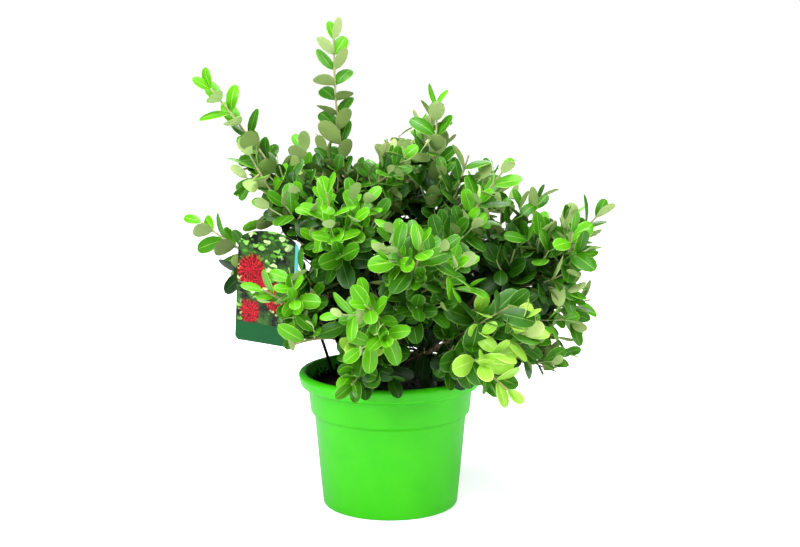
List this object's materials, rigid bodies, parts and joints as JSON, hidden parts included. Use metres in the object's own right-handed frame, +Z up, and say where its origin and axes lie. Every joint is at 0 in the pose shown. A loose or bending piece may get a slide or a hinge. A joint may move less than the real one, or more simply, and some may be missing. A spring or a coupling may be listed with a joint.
{
  "type": "potted pohutukawa",
  "caption": "Young evergreen pohutukawa shrub with oval leaves on upright shoots, in a green plastic nursery pot with soil, and a picture label on a stick.",
  "frame": {"origin": "centre of the pot's flat underside", "axes": "+Z up along the pot's axis, +X to the right and -Y towards the viewer in the pictured view"},
  "size_m": [0.5329, 0.4575, 0.5841],
  "materials": {
    "pot_green": "satin moulded plastic, bright lime green",
    "soil": "dark damp potting soil, crumbly",
    "bark": "thin greyish brown bark with fine cracks",
    "foliage": "glossy green leaves with pale felted undersides, on tan twigs",
    "label": "printed glossy plastic sheet",
    "stick": "black moulded plastic"
  },
  "bodies": {
    "root": {"back_high_bough": "bark", "back_high_foliage": "foliage", "back_left_high_bough": "bark", "back_left_high_foliage": "foliage", "back_left_low_bough": "bark", "back_left_low_foliage": "foliage", "back_low_bough": "bark", "back_low_foliage": "foliage", "back_right_high_bough": "bark", "back_right_high_foliage": "foliage", "back_right_low_bough": "bark", "back_right_low_foliage": "foliage", "centre_high_bough": "bark", "centre_high_foliage": "foliage", "far_right_bough": "bark", "far_right_foliage": "foliage", "front_bottom_bough": "bark", "front_bottom_foliage": "foliage", "front_centre_bough": "bark", "front_centre_foliage": "foliage", "front_left_high_bough": "bark", "front_left_high_foliage": "foliage", "front_left_lower_bough": "bark", "front_left_lower_foliage": "foliage", "front_left_upper_bough": "bark", "front_left_upper_foliage": "foliage", "front_mid_bough": "bark", "front_mid_foliage": "foliage", "front_right_lower_bough": "bark", "front_right_lower_foliage": "foliage", "front_right_upper_bough": "bark", "front_right_upper_foliage": "foliage", "label": "label", "label_stick": "stick", "leader_bough": "bark", "leader_foliage": "foliage", "left_high_bough": "bark", "left_high_foliage": "foliage", "left_inner_bough": "bark", "left_inner_foliage": "foliage", "left_low_bough": "bark", "left_low_foliage": "foliage", "left_mid_bough": "bark", "left_mid_foliage": "foliage", "pot": "pot_green", "right_bottom_bough": "bark", "right_bottom_foliage": "foliage", "right_centre_high_bough": "bark", "right_centre_high_foliage": "foliage", "right_high_bough": "bark", "right_high_foliage": "foliage", "right_high_outer_bough": "bark", "right_high_outer_foliage": "foliage", "right_low_bough": "bark", "right_low_foliage": "foliage", "right_mid_bough": "bark", "right_mid_foliage": "foliage", "soil": "soil", "trunk": "bark"}
  },
  "joints": []
}
